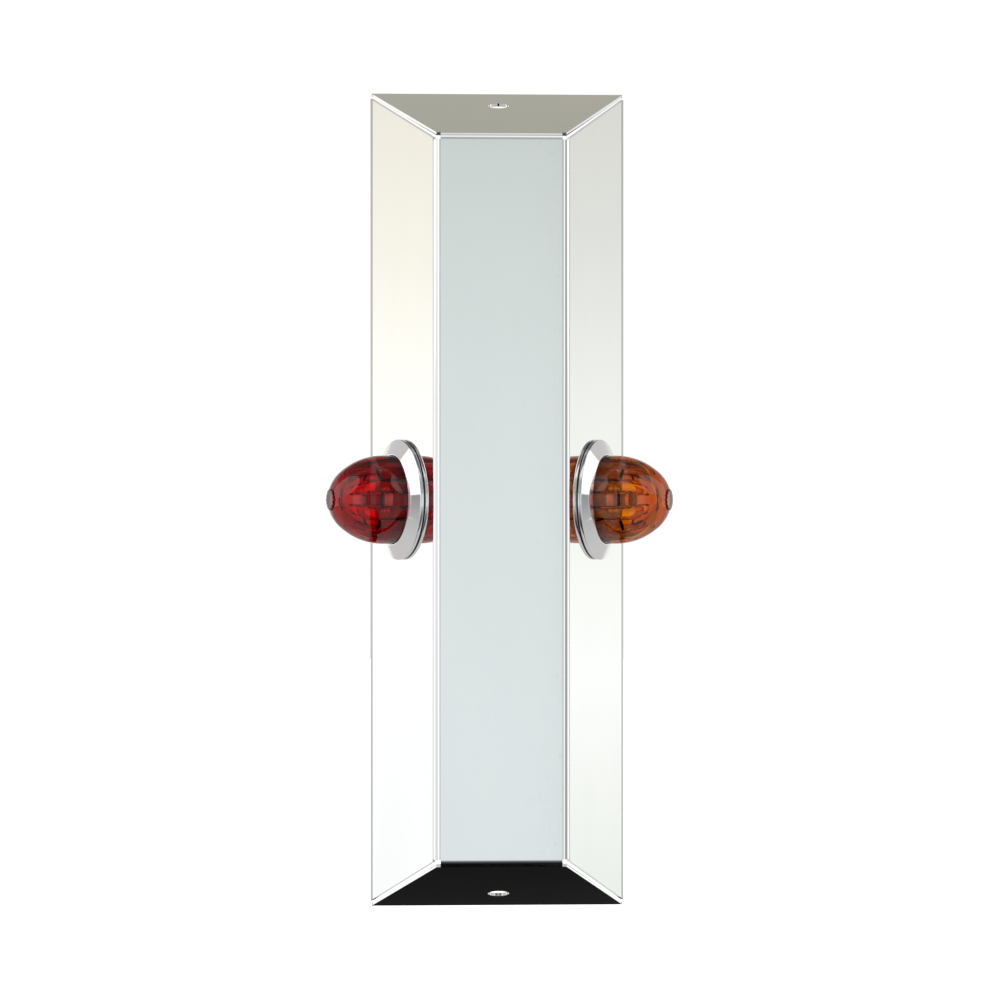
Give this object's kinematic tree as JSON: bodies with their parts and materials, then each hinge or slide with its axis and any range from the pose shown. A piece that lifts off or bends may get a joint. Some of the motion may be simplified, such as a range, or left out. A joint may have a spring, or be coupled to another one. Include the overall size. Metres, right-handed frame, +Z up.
{
  "type": "double-face marker light box",
  "caption": "Open-backed flared sheet-metal light box with a round bullet-shaped marker lamp on each side flange and a bolt hole in the top and bottom flanges.",
  "frame": {"origin": "centre of the open back, on the plane of the rear rim", "axes": "+X to the right (amber lamp), +Z up along the box, -Y towards the front panel"},
  "size_m": [0.2142, 0.0966, 0.5222],
  "materials": {
    "polished_steel": "mirror-polished stainless sheet",
    "chrome_plate": "bright plating on a moulded ring",
    "red_lens": "clear tinted, glossy",
    "amber_lens": "clear tinted, glossy",
    "clear_optic": "clear, glossy",
    "rubber": "matte black",
    "silicone": "pale silicone",
    "base_plastic": "white moulded plastic",
    "steel_hardware": "zinc-plated",
    "circuit_board": "white solder mask",
    "led_package": "clear dome over a pale package",
    "chip": "ceramic chip",
    "brass": "bright"
  },
  "bodies": {
    "root": {"front_panel": "polished_steel", "right_flange": "polished_steel", "top_flange": "polished_steel", "left_flange": "polished_steel", "bottom_flange": "polished_steel", "red_lens": "red_lens", "red_bezel": "chrome_plate", "red_mounting_pad": "rubber", "red_lens_seal": "silicone", "red_base": "base_plastic", "red_bezel_screws": "steel_hardware", "red_board": "circuit_board", "red_board_screws": "steel_hardware", "red_leds": "led_package", "red_resistors": "chip", "red_terminals": "brass", "red_reflector": "chrome_plate", "red_optic": "clear_optic", "red_lock_washer": "steel_hardware", "red_nut": "steel_hardware", "red_grommet": "rubber", "amber_lens": "amber_lens", "amber_bezel": "chrome_plate", "amber_mounting_pad": "rubber", "amber_lens_seal": "silicone", "amber_base": "base_plastic", "amber_bezel_screws": "steel_hardware", "amber_board": "circuit_board", "amber_board_screws": "steel_hardware", "amber_leds": "led_package", "amber_resistors": "chip", "amber_terminals": "brass", "amber_reflector": "chrome_plate", "amber_optic": "clear_optic", "amber_lock_washer": "steel_hardware", "amber_nut": "steel_hardware", "amber_grommet": "rubber"}
  },
  "joints": []
}
